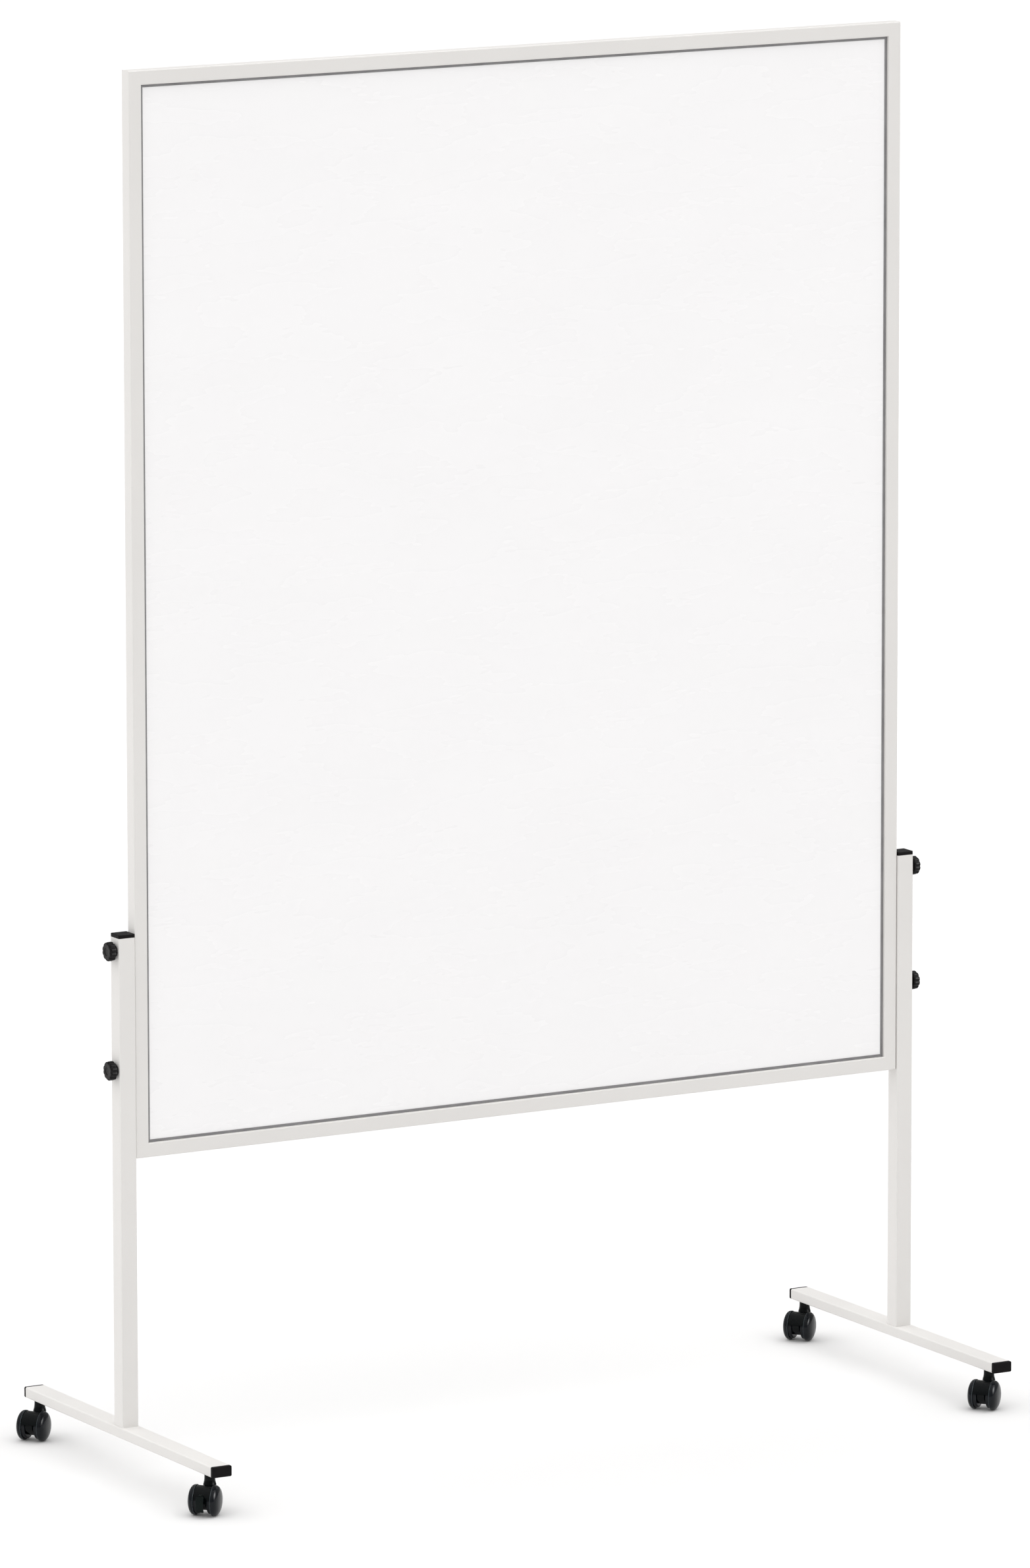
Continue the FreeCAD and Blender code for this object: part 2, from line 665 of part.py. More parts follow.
def caster_housing(corner, sign, way, braked):
    """Neck, hood and middle plate in one moulding, with bores for the stem and the axle."""
    def name(piece):
        return "%s_housing_%s" % (corner, piece)

    above = block(name("above"), "caster_trail - 2 * hood_outer", "0 - hood_wide",
                  "axle_rise + hood_edge", "4 * hood_outer", "2 * hood_wide", "2 * hood_outer")
    disc = drum(name("disc"), "hood_outer", "hood_wide", "caster_trail", "axle_rise")
    crown = shared(name("crown"), disc, above)
    plate = drum(name("plate"), "web_across / 2", "web_wide", "caster_trail", "axle_rise")
    neck = place(primitive("Cylinder", name("neck"), Radius="neck_across / 2",
                           Height="neck_top - axle_rise - hood_edge"),
                 z="axle_rise + hood_edge")
    flare = place(primitive("Cone", name("flare"), Radius1="skirt_across / 2",
                            Radius2="neck_across / 2", Height="skirt_high - skirt_low"),
                  z="skirt_low")
    rough = joined(name("rough"), crown, plate, neck, flare)
    wells = []
    for hand, low in (("left", "web_wide / 2"), ("right", "0 - web_wide / 2 - 2 * hood_wide")):
        well = primitive("Cylinder", name("well_" + hand), Radius="hood_inner",
                         Height="2 * hood_wide")
        wells.append(place(well, "caster_trail", low, "axle_rise", "back"))
    bore = place(primitive("Cylinder", name("bore"), Radius="stem_pin / 2 + run_play",
                           Height="2 * stem_reach"), z="pin_low - side_play")
    cross = drum(name("cross"), "axle_across / 2", "2 * hood_wide", "caster_trail", "axle_rise")
    tools = wells + [bore, cross]
    if braked:
        tools += [
            block(name("slot"), "caster_trail + pedal_out - pedal_boss / 2 - side_play",
                  "0 - pedal_slot / 2", "axle_rise + pedal_up - pedal_boss / 2 - side_play",
                  "2 * hood_outer", "pedal_slot", "pedal_boss + 2 * side_play"),
            block(name("notch"), "caster_trail + notch_from", "0 - notch_wide / 2",
                  "axle_rise", "2 * hood_outer", "notch_wide", "2 * hood_outer"),
            drum(name("pivot"), "pedal_pin / 2 + run_play", "2 * web_wide",
                 "caster_trail + pedal_out", "axle_rise + pedal_up"),
        ]
    housing = without(name("shape"), rough, joined(name("tools"), *tools))
    return keep(swing(housing, corner, sign, way), corner + "_caster_housing")


def caster_axle(corner, sign, way):
    """Steel pin across the housing; its ends carry the wheels."""
    body = new_body(corner + "_caster_axle")
    sketch = new_sketch(body, "XZ_Plane")
    circle(sketch, "0", "0", "axle_across / 2")
    pad(body, sketch, "web_wide + 2 * side_play + 2 * axle_bite", both=True)
    return keep(swing(body, corner, sign, way, "caster_trail", "0", "axle_rise"))


def caster_wheel(corner, sign, way, hand, out):
    """Wheel with a crowned outer face and a blind bore, on one side of the housing."""
    body = new_body("%s_caster_%s_wheel" % (corner, hand))
    sketch = new_sketch(body, "XY_Plane")
    bore = "axle_across / 2 + run_play"
    depth = "axle_bite + side_play"
    outline = (
        (bore, "0"),
        ("wheel_across / 2", "0"),
        ("wheel_across / 2", "wheel_wide - wheel_crown"),
        ("0", "wheel_wide"),
        ("0", depth),
        (bore, depth),
    )
    polygon(sketch, [(radius, "%d * (%s)" % (out, width)) for radius, width in outline])
    turn = body.newObject("PartDesign::Revolution", body.Name + "_turn")
    turn.Profile = sketch
    turn.ReferenceAxis = (sketch, ["V_Axis"])
    turn.Angle = 360
    radius = value("wheel_across") / 2
    shoulder = value("wheel_wide") - value("wheel_crown")

    def at_rim(distance):
        def wanted(edge):
            if edge.Curve.TypeId != "Part::GeomCircle":
                return False
            wide = abs(edge.Curve.Radius - radius) < 1e-6
            return wide and abs(abs(edge.Curve.Center.y) - distance) < 1e-6
        return wanted

    round_edges(body, "wheel_round", at_rim(shoulder))
    round_edges(body, "wheel_edge", at_rim(0))
    aside = "%d * (web_wide / 2 + side_play)" % out
    return keep(swing(body, corner, sign, way, "caster_trail", aside, "axle_rise"))


def brake_pedal(corner, sign, way):
    """Foot pedal: a curved plate behind the hood on an arm that pivots in the housing."""
    def name(piece):
        return "%s_pedal_%s" % (corner, piece)

    outer = drum(name("outer"), "pedal_outer", "pedal_wide", "caster_trail", "axle_rise")
    inner = drum(name("inner"), "pedal_inner", "2 * pedal_wide", "caster_trail", "axle_rise")
    curve = without(name("curve"), outer, inner)
    window = block(name("window"), "caster_trail + pedal_out + pedal_boss",
                   "0 - pedal_wide", "axle_rise - pedal_boss / 2",
                   "2 * pedal_outer", "2 * pedal_wide", "pedal_up + pedal_boss + side_play")
    plate = shared(name("plate"), curve, window)
    boss = drum(name("boss"), "pedal_boss / 2", "pedal_arm",
                "caster_trail + pedal_out", "axle_rise + pedal_up")
    arm = block(name("arm"), "caster_trail + pedal_out", "0 - pedal_arm / 2",
                "axle_rise + pedal_up", "pedal_inner - pedal_out - pedal_thick / 2",
                "pedal_arm", "pedal_boss / 2")
    pin = drum(name("pin"), "pedal_pin / 2", "web_wide - 2 * run_play",
               "caster_trail + pedal_out", "axle_rise + pedal_up")
    pedal = joined(name("shape"), plate, boss, arm, pin)
    return keep(swing(pedal, corner, sign, way), corner + "_caster_brake_pedal")


def build_casters():
    """Four swivel casters; the one at the front left has a brake."""
    sockets = []
    for corner, sign, way, braked in CASTERS:
        sockets.append(foot_socket(corner, sign, way))
        caster_stem(corner, sign, way)
        caster_housing(corner, sign, way, braked)
        caster_axle(corner, sign, way)
        caster_wheel(corner, sign, way, "left", 1)
        caster_wheel(corner, sign, way, "right", -1)
        if braked:
            brake_pedal(corner, sign, way)
    keep(group("caster_thread_inserts", sockets))


# --- checks and files ---------------------------------------------------------------------

def check_document():
    """Stop if any feature failed or any sub-part has no good shape."""
    for thing in doc.Objects:
        if "Invalid" in thing.State or "Error" in thing.State:
            raise RuntimeError("failed feature: " + thing.Name)
    labels = [thing.Label for thing in NODES]
    if len(set(labels)) != len(labels):
        raise RuntimeError("two sub-parts share a label")
    for thing in NODES:
        if thing.Shape.isNull() or not thing.Shape.isValid() or not thing.Shape.Solids:
            raise RuntimeError("bad shape: " + thing.Label)


def write_parts():
    """Write one STEP file for each sub-part."""
    os.makedirs("parts", exist_ok=True)
    for thing in NODES:
        thing.Shape.exportStep(os.path.join("parts", thing.Label + ".step"))


fill_sheet()
build_board()
build_stand()
build_clamps()
build_casters()
doc.recompute()
check_document()
write_parts()
print("%d sub-parts" % len(NODES))
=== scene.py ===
"""Rolling whiteboard: finishes, moulded pieces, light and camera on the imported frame."""

import logging
import math
from dataclasses import dataclass, field
from enum import Enum

import bmesh
import bpy
import numpy as np
from mathutils import Matrix, Vector


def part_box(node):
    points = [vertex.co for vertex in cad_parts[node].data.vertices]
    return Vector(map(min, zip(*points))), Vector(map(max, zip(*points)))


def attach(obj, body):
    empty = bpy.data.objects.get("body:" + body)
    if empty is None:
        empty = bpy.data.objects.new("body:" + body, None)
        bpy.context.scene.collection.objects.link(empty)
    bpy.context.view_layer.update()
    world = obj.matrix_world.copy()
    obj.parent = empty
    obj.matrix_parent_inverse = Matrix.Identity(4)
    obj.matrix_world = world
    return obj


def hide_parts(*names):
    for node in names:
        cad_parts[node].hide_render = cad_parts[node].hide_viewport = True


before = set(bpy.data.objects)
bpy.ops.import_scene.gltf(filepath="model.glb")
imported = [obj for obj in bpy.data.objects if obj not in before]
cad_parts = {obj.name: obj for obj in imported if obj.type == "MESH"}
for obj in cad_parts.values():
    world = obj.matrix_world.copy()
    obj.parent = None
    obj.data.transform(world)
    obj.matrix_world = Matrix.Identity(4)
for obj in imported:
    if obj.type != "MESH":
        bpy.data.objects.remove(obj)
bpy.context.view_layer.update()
LOG = logging.getLogger("whiteboard")
MM = 0.001
# An edge of a new piece looks sharp above this angle, and its points closer than the weld merge.
CREASE = math.radians(32.0)
WELD = 0.002 * MM


# --- names ---------------------------------------------------------------------------------

class Side(Enum):
    """The two ends of the board, with the direction that points away from it."""

    LEFT = ("left", -1.0)
    RIGHT = ("right", 1.0)

    @property
    def label(self) -> str:
        """The word that the side's pieces begin with."""
        return self.value[0]

    @property
    def out(self) -> float:
        """Sign of X away from the board."""
        return self.value[1]


class Level(Enum):
    """The two clamping heights on a post."""

    LOWER = "lower"
    UPPER = "upper"


class Corner(Enum):
    """The four ends of the feet."""

    FRONT_LEFT = "front_left"
    REAR_LEFT = "rear_left"
    FRONT_RIGHT = "front_right"
    REAR_RIGHT = "rear_right"


class Hand(Enum):
    """The two wheels of a caster, with their side of its middle plate."""

    LEFT = ("left", 1.0)
    RIGHT = ("right", -1.0)

    @property
    def label(self) -> str:
        """The word that the wheel's node holds."""
        return self.value[0]

    @property
    def out(self) -> float:
        """Sign of the axle direction away from the middle plate."""
        return self.value[1]


# --- finishes ------------------------------------------------------------------------------

class Recipe:
    """A node material under construction."""

    def __init__(self, name: str) -> None:
        """Starts an empty material with a Principled shader.

        Args:
            name: Name of the material.
        """
        self.material = bpy.data.materials.new(name)
        self.material.use_nodes = True
        self.tree = self.material.node_tree
        self.tree.nodes.clear()
        self.shader = self.tree.nodes.new("ShaderNodeBsdfPrincipled")
        self.output = self.tree.nodes.new("ShaderNodeOutputMaterial")
        self.tree.links.new(self.shader.outputs["BSDF"], self.output.inputs["Surface"])
        self.coords = self.tree.nodes.new("ShaderNodeTexCoord")

    def set(self, **values: float | tuple[float, ...]) -> None:
        """Sets constants on the shader's own sockets.

        Args:
            values: Socket names with underscores for spaces, and their values.
        """
        for name, value in values.items():
            self.shader.inputs[name.replace("_", " ")].default_value = value

    def link(self, source: bpy.types.NodeSocket, target: bpy.types.NodeSocket) -> None:
        """Links one socket to another."""
        self.tree.links.new(source, target)

    def noise(self, scale: float, detail: float = 2.0,
              stretch: tuple[float, float, float] = (1.0, 1.0, 1.0),
              roughness: float = 0.5) -> bpy.types.NodeSocket:
        """Noise on the piece's own coordinates.

        Args:
            scale: Features per metre.
            detail: Number of finer octaves.
            stretch: Factors on the three axes.
            roughness: Weight of the finer octaves.

        Returns:
            The noise value socket, 0 to 1 about 0.5.
        """
        mapping = self.tree.nodes.new("ShaderNodeMapping")
        mapping.inputs["Scale"].default_value = stretch
        texture = self.tree.nodes.new("ShaderNodeTexNoise")
        texture.inputs["Scale"].default_value = scale
        texture.inputs["Detail"].default_value = detail
        texture.inputs["Roughness"].default_value = roughness
        self.link(self.coords.outputs["Object"], mapping.inputs["Vector"])
        self.link(mapping.outputs["Vector"], texture.inputs["Vector"])
        return texture.outputs["Fac"]

    def between(self, source: bpy.types.NodeSocket, low: float, high: float,
                start: float = 0.3, end: float = 0.7) -> bpy.types.NodeSocket:
        """Carries a range of one value to another range.

        Args:
            source: Value to carry.
            low: Result at start and before it.
            high: Result at end and after it.
            start: Source value that gives low.
            end: Source value that gives high.

        Returns:
            The socket of the result.
        """
        node = self.tree.nodes.new("ShaderNodeMapRange")
        node.inputs["From Min"].default_value = start
        node.inputs["From Max"].default_value = end
        node.inputs["To Min"].default_value = low
        node.inputs["To Max"].default_value = high
        self.link(source, node.inputs["Value"])
        return node.outputs["Result"]

    def shades(self, source: bpy.types.NodeSocket, dark: tuple[float, float, float],
               light: tuple[float, float, float]) -> None:
        """Mixes the base colour between two shades.

        Args:
            source: Mixing value, 0 to 1.
            dark: Linear colour at 0.
            light: Linear colour at 1.
        """
        mix = self.tree.nodes.new("ShaderNodeMix")
        mix.data_type = "RGBA"
        self.link(source, mix.inputs["Factor"])
        mix.inputs["A"].default_value = (*dark, 1.0)
        mix.inputs["B"].default_value = (*light, 1.0)
        self.link(mix.outputs["Result"], self.shader.inputs["Base Color"])

    def rough(self, source: bpy.types.NodeSocket, low: float, high: float) -> None:
        """Lets a value carry the roughness from a low to a high level."""
        self.link(self.between(source, low, high), self.shader.inputs["Roughness"])

    def bump(self, source: bpy.types.NodeSocket, distance: float, strength: float) -> None:
        """Raises the surface by a value, on top of any bump already there.

        Args:
            source: Height value, 0 to 1.
            distance: Height in metres for a value of 1.
            strength: Share of the effect.
        """
        node = self.tree.nodes.new("ShaderNodeBump")
        node.inputs["Distance"].default_value = distance
        node.inputs["Strength"].default_value = strength
        self.link(source, node.inputs["Height"])
        earlier = self.shader.inputs["Normal"].links
        if earlier:
            self.link(earlier[0].from_socket, node.inputs["Normal"])
        self.link(node.outputs["Normal"], self.shader.inputs["Normal"])


@dataclass(frozen=True)
class PowderCoat:
    """White powder coat: satin, with a fine orange-peel surface and hardly any colour change."""

    name: str = "white_powder_coat"
    light: tuple[float, float, float] = (0.70, 0.684, 0.664)
    dark: tuple[float, float, float] = (0.684, 0.668, 0.649)
    peel: float = 700.0
    peel_depth: float = 0.06 * MM
    roughness: float = 0.42

    def make(self) -> bpy.types.Material:
        """Builds the material."""
        recipe = Recipe(self.name)
        recipe.set(IOR=1.48, Specular_IOR_Level=0.35)
        recipe.shades(recipe.between(recipe.noise(6.0, 3.0), 0.0, 1.0), self.dark, self.light)
        peel = recipe.noise(self.peel, 1.0)
        cloud = recipe.noise(18.0, 3.0)
        recipe.rough(cloud, self.roughness - 0.04, self.roughness + 0.05)
        recipe.bump(peel, self.peel_depth, 0.35)
        return recipe.material


@dataclass(frozen=True)
class WritingEnamel:
    """Glossy white enamel on the writing sheets, with the faint veil of a wiped board."""

    name: str = "white_writing_enamel"
    light: tuple[float, float, float] = (0.868, 0.86, 0.862)
    dark: tuple[float, float, float] = (0.858, 0.85, 0.852)
    roughness: float = 0.2
    wiped: float = 0.14
    ripple_depth: float = 0.04 * MM

    def make(self) -> bpy.types.Material:
        """Builds the material."""
        recipe = Recipe(self.name)
        recipe.set(IOR=1.5, Specular_IOR_Level=0.4)
        veil = recipe.noise(3.5, 4.0, (1.0, 1.0, 2.6), 0.6)
        recipe.shades(recipe.between(veil, 0.0, 1.0, 0.35, 0.65), self.dark, self.light)
        wipe = recipe.noise(26.0, 3.0, (0.25, 1.0, 1.0), 0.55)
        recipe.rough(wipe, self.roughness, self.roughness + self.wiped)
        recipe.bump(recipe.noise(240.0, 1.0), self.ripple_depth, 0.25)
        return recipe.material


@dataclass(frozen=True)
class GreyTrim:
    """Grey extruded plastic of the edge channel, with fine draw lines."""

    name: str = "grey_trim"
    light: tuple[float, float, float] = (0.24, 0.237, 0.239)
    dark: tuple[float, float, float] = (0.19, 0.187, 0.19)
    draw_depth: float = 0.03 * MM

    def make(self) -> bpy.types.Material:
        """Builds the material."""
        recipe = Recipe(self.name)
        recipe.set(Roughness=0.5, IOR=1.46, Specular_IOR_Level=0.3)
        recipe.shades(recipe.between(recipe.noise(40.0, 3.0), 0.0, 1.0), self.dark, self.light)
        recipe.bump(recipe.noise(900.0, 1.0), self.draw_depth, 0.3)
        return recipe.material


@dataclass(frozen=True)
class BlackMoulding:
    """Black moulded plastic with a fine spark-eroded grain."""

    name: str = "black_moulding"
    light: tuple[float, float, float] = (0.0075, 0.0067, 0.0069)
    dark: tuple[float, float, float] = (0.0055, 0.0049, 0.0051)
    roughness: float = 0.42
    gloss: float = 0.07
    grain: float = 1600.0
    depth: float = 0.05 * MM

    def make(self) -> bpy.types.Material:
        """Builds the material."""
        recipe = Recipe(self.name)
        recipe.set(IOR=1.46, Specular_IOR_Level=self.gloss)
        recipe.shades(recipe.between(recipe.noise(90.0, 3.0), 0.0, 1.0), self.dark, self.light)
        grain = recipe.noise(self.grain, 2.0)
        recipe.rough(grain, self.roughness - 0.06, self.roughness + 0.08)
        recipe.bump(grain, self.depth, 0.35)
        return recipe.material


@dataclass(frozen=True)
class ZincSteel:
    """Bright zinc plating on steel, slightly clouded."""

    name: str = "zinc_steel"
    light: tuple[float, float, float] = (0.62, 0.62, 0.6)
    dark: tuple[float, float, float] = (0.5, 0.5, 0.49)
    grain_depth: float = 0.02 * MM

    def make(self) -> bpy.types.Material:
        """Builds the material."""
        recipe = Recipe(self.name)
        recipe.set(Metallic=1.0)
        cloud = recipe.noise(160.0, 4.0)
        recipe.shades(recipe.between(cloud, 0.0, 1.0), self.dark, self.light)
        recipe.rough(cloud, 0.24, 0.4)
        recipe.bump(recipe.noise(1500.0, 1.0), self.grain_depth, 0.3)
        return recipe.material


@dataclass(frozen=True)
class CoreBoard:
    """Brown paper board of the panel core."""

    name: str = "honeycomb_board"
    light: tuple[float, float, float] = (0.5, 0.37, 0.24)
    dark: tuple[float, float, float] = (0.38, 0.27, 0.17)
    fibre_depth: float = 0.1 * MM

    def make(self) -> bpy.types.Material:
        """Builds the material."""
        recipe = Recipe(self.name)
        recipe.set(Roughness=0.85, Specular_IOR_Level=0.15)
        fibres = recipe.noise(300.0, 4.0, (0.2, 1.0, 1.0))
        recipe.shades(recipe.between(fibres, 0.0, 1.0), self.dark, self.light)
        recipe.bump(fibres, self.fibre_depth, 0.4)
        return recipe.material


@dataclass(frozen=True)
class PaleFloor:
    """Plain pale studio floor."""

    name: str = "pale_floor"
    colour: tuple[float, float, float] = (0.745, 0.742, 0.74)

    def make(self) -> bpy.types.Material:
        """Builds the material."""
        recipe = Recipe(self.name)
        recipe.set(Base_Color=(*self.colour, 1.0), Roughness=0.9, Specular_IOR_Level=0.0)
        return recipe.material


# --- surfaces ------------------------------------------------------------------------------

def frame_at(origin: np.ndarray, first: np.ndarray, second: np.ndarray) -> np.ndarray:
    """A place and three directions as a 4 by 4 matrix.

    Args:
        origin: Place of the local origin.
        first: Local X direction, of length 1.
        second: Local Y direction, of length 1 and square to the first.

    Returns:
        The matrix that carries local points to the object's frame.
    """
    matrix = np.eye(4)
    matrix[:3, 0] = first
    matrix[:3, 1] = second
    matrix[:3, 2] = np.cross(first, second)
    matrix[:3, 3] = origin
    return matrix


def carried(points: np.ndarray, matrix: np.ndarray) -> np.ndarray:
    """Local points of any grid shape, carried by a 4 by 4 matrix."""
    return points @ matrix[:3, :3].T + matrix[:3, 3]


@dataclass
class Shell:
    """Vertices and faces of a piece, gathered from grids."""

    corners: list[np.ndarray] = field(default_factory=list)
    quads: list[np.ndarray] = field(default_factory=list)
    triangles: list[np.ndarray] = field(default_factory=list)
    count: int = 0

    def grid(self, points: np.ndarray, ring: bool = False, caps: bool = False) -> None:
        """Adds a grid of points: cell (i, j) is the quad between rows i, i+1 and columns j, j+1.

        Args:
            points: Array of rows by columns by 3.
            ring: The last column joins the first.
            caps: The first and last rows are closed by a fan about their middles.
        """
        rows, columns = points.shape[:2]
        index = np.arange(rows * columns).reshape(rows, columns) + self.count
        if ring:
            index = np.concatenate([index, index[:, :1]], axis=1)
        cells = np.stack([index[:-1, :-1], index[:-1, 1:], index[1:, 1:], index[1:, :-1]], axis=-1)
        self.quads.append(cells.reshape(-1, 4))
        self.corners.append(points.reshape(-1, 3))
        self.count += rows * columns
        if caps:
            self._fan(index[0], points[0], True)
            self._fan(index[-1], points[-1], False)

    def _fan(self, index: np.ndarray, rim: np.ndarray, flip: bool) -> None:
        """Closes a ring of points with triangles to its middle."""
        middle = np.full(index.size - 1, self.count)
        pair = (index[1:], index[:-1]) if flip else (index[:-1], index[1:])
        self.triangles.append(np.stack([*pair, middle], axis=-1))
        self.corners.append(rim.mean(axis=0, keepdims=True))
        self.count += 1

    def piece(self, name: str, finish: bpy.types.Material) -> bpy.types.Object:
        """Puts the gathered surface into a new object.

        Args:
            name: Name of the object.
            finish: Material of the whole piece.

        Returns:
            The new object, at the origin.
        """
        corners = np.concatenate(self.corners).astype(np.float32)
        quads = np.concatenate(self.quads)
        triangles = np.concatenate([np.zeros((0, 3), int), *self.triangles])
        mesh = bpy.data.meshes.new(name)
        mesh.vertices.add(len(corners))
        mesh.vertices.foreach_set("co", corners.ravel())
        mesh.loops.add(quads.size + triangles.size)
        loops = np.concatenate([quads.ravel(), triangles.ravel()]).astype(np.int32)
        mesh.loops.foreach_set("vertex_index", loops)
        mesh.polygons.add(len(quads) + len(triangles))
        sizes = np.concatenate([np.full(len(quads), 4), np.full(len(triangles), 3)])
        starts = np.concatenate([[0], np.cumsum(sizes)[:-1]]).astype(np.int32)
        mesh.polygons.foreach_set("loop_start", starts)
        mesh.update(calc_edges=True)
        mesh.validate()
        thing = bpy.data.objects.new(name, mesh)
        bpy.context.scene.collection.objects.link(thing)
        tidy_mesh(mesh)
        mesh.shade_smooth()
        mesh.set_sharp_from_angle(angle=CREASE)
        mesh.materials.append(finish)
        return thing


def tidy_mesh(mesh: bpy.types.Mesh) -> None:
    """Merges doubled points and turns every face outwards.

    Args:
        mesh: Mesh to tidy in place.
    """
    work = bmesh.new()
    work.from_mesh(mesh)
    bmesh.ops.remove_doubles(work, verts=work.verts, dist=WELD)
    bmesh.ops.recalc_face_normals(work, faces=work.faces)
    work.to_mesh(mesh)
    work.free()
    mesh.update()


def rounded(points: np.ndarray, radii: np.ndarray, steps: int = 7) -> np.ndarray:
    """An open outline with its inner corners replaced by arcs.

    Each arc touches both of its legs: it starts and ends at radius / tan(half angle) from the
    corner, and its points blend between the two tangent points by equal turns.

    Args:
        points: Outline corners, n by 2.
        radii: Radius at every corner; the first and last are not used.
        steps: Points on each arc.

    Returns:
        The outline as an array of points.
    """
    here = points[1:-1]
    back = points[:-2] - here
    ahead = points[2:] - here
    back /= np.linalg.norm(back, axis=1, keepdims=True)
    ahead /= np.linalg.norm(ahead, axis=1, keepdims=True)
    half = np.arccos(np.clip((back * ahead).sum(axis=1), -1.0, 1.0)) / 2.0
    radius = np.asarray(radii, float)[1:-1]
    reach = radius / np.tan(half)
    middle = (back + ahead) / np.linalg.norm(back + ahead, axis=1, keepdims=True)
    centre = here + middle * (radius / np.sin(half))[:, None]
    start = here + back * reach[:, None] - centre
    end = here + ahead * reach[:, None] - centre
    turn = (math.pi - 2.0 * half)[:, None]
    share = np.linspace(0.0, 1.0, steps)[None, :]
    weight_start = np.sin((1.0 - share) * turn) / np.sin(turn)
    weight_end = np.sin(share * turn) / np.sin(turn)
    arcs = (centre[:, None, :] + weight_start[..., None] * start[:, None, :]
            + weight_end[..., None] * end[:, None, :])
    return np.concatenate([points[:1], arcs.reshape(-1, 2), points[-1:]])


def lathe(outline: np.ndarray, turns: int) -> np.ndarray:
    """Points of a turned surface: an outline of (radius, height) carried round local Z.

    Args:
        outline: Outline points, n by 2.
        turns: Points round the axis.

    Returns:
        Grid of n rows by that many columns by 3.
    """
    angle = np.linspace(0.0, 2.0 * math.pi, turns, endpoint=False)
    radius, height = outline[:, :1], outline[:, 1:]
    return np.stack([radius * np.cos(angle), radius * np.sin(angle),
                     height + 0.0 * angle], axis=-1)


def section(width: float, depth: float, corner: float, steps: int = 5) -> np.ndarray:
    """Closed rounded rectangle about its middle.

    Args:
        width: Size along the first axis.
        depth: Size along the second axis.
        corner: Corner radius.
        steps: Points on each corner.

    Returns:
        Array of 4 * steps points, anticlockwise.
    """
    turn = np.linspace(0.0, math.pi / 2.0, steps)[None, :] + np.arange(4)[:, None] * math.pi / 2.0
    sign = np.array([[1, 1], [-1, 1], [-1, -1], [1, -1]], float)
    middle = sign * (np.array([width, depth]) / 2.0 - corner)
    arcs = middle[:, None, :] + corner * np.stack([np.cos(turn), np.sin(turn)], axis=-1)
    return arcs.reshape(-1, 2)


# --- sub-assemblies ------------------------------------------------------------------------

def moulding(name: str, light: tuple[float, float, float], dark: tuple[float, float, float],
             roughness: float, gloss: float) -> BlackMoulding:
    """A smooth black moulding of a caster, whose grain is coarse and hardly raised.

    Args:
        name: Name of the material.
        light: Linear colour of the lighter places.
        dark: Linear colour of the darker places.
        roughness: Middle of the roughness.
        gloss: Specular level.

    Returns:
        The finish.
    """
    return BlackMoulding(name, light, dark, roughness, gloss, grain=300.0, depth=0.004 * MM)


@dataclass
class Finishes:
    """All materials of the whiteboard, made once."""

    powder: bpy.types.Material = field(default_factory=PowderCoat().make)
    enamel: bpy.types.Material = field(default_factory=WritingEnamel().make)
    trim: bpy.types.Material = field(default_factory=GreyTrim().make)
    cap: bpy.types.Material = field(default_factory=BlackMoulding("black_cap").make)
    knob: bpy.types.Material = field(default_factory=BlackMoulding(
        "black_knob", roughness=0.3, gloss=0.14).make)
    caster: bpy.types.Material = field(default_factory=moulding(
        "black_caster", (0.0036, 0.0049, 0.0068), (0.0024, 0.0035, 0.0052), 0.14, 0.24).make)
    # The housing's black is a darker copy of the wheels' black: painted shade for the hood that
    # sits in shadow between the wheels.
    housing: bpy.types.Material = field(default_factory=moulding(
        "black_housing_painted_shade", (0.0018, 0.0029, 0.0031), (0.0012, 0.002, 0.0022), 0.2, 0.13).make)
    # The wheel ring is about ten times lighter than the wheels' black: a painted highlight for the
    # light line along each wheel's rim.
    ring: bpy.types.Material = field(default_factory=moulding(
        "wheel_rim_painted_highlight", (0.034, 0.042, 0.046), (0.024, 0.031, 0.035), 0.3, 0.25).make)
    pedal: bpy.types.Material = field(default_factory=moulding(
        "black_pedal", (0.0052, 0.0082, 0.0076), (0.004, 0.0066, 0.006), 0.4, 0.1).make)
    zinc: bpy.types.Material = field(default_factory=ZincSteel().make)
    core: bpy.types.Material = field(default_factory=CoreBoard().make)


def dress(node: str, finish: bpy.types.Material) -> None:
    """Gives a CAD node one finish.

    Args:
        node: Name of the CAD node.
        finish: Material for all of its faces.
    """
    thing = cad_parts[node]
    thing.data.materials.clear()
    thing.data.materials.append(finish)


@dataclass
class Board:
    """Frame, edge channel and writing panel."""

    rails: tuple[str, ...] = ("frame_top_rail", "frame_bottom_rail", "frame_left_stile",
                              "frame_right_stile")
    sheets: tuple[str, ...] = ("front_writing_sheet", "rear_writing_sheet")
    channels: tuple[str, ...] = ("edge_channel_top", "edge_channel_bottom",
                                 "edge_channel_left", "edge_channel_right")

    def dress(self, finishes: Finishes) -> None:
        """Puts the finishes on the CAD nodes of the board."""
        for node in self.rails:
            dress(node, finishes.powder)
        for node in self.sheets:
            dress(node, finishes.enamel)
        for node in self.channels:
            dress(node, finishes.trim)
        dress("panel_core", finishes.core)
        dress("frame_thread_inserts", finishes.zinc)
        LOG.info("board dressed: %d nodes", len(self.rails + self.sheets + self.channels) + 2)


@dataclass
class Leg:
    """One post on its foot bar, with caps, plug and bolts."""

    side: Side

    def dress(self, finishes: Finishes) -> None:
        """Puts the finishes on the CAD nodes of the leg."""
        word = self.side.label
        for node in (word + "_post", word + "_foot_bar"):
            dress(node, finishes.powder)
        for node in (word + "_post_cap", word + "_foot_front_cap", word + "_foot_rear_cap"):
            dress(node, finishes.cap)
        dress(word + "_post_base_plug", finishes.zinc)
        LOG.info("%s leg dressed", word)


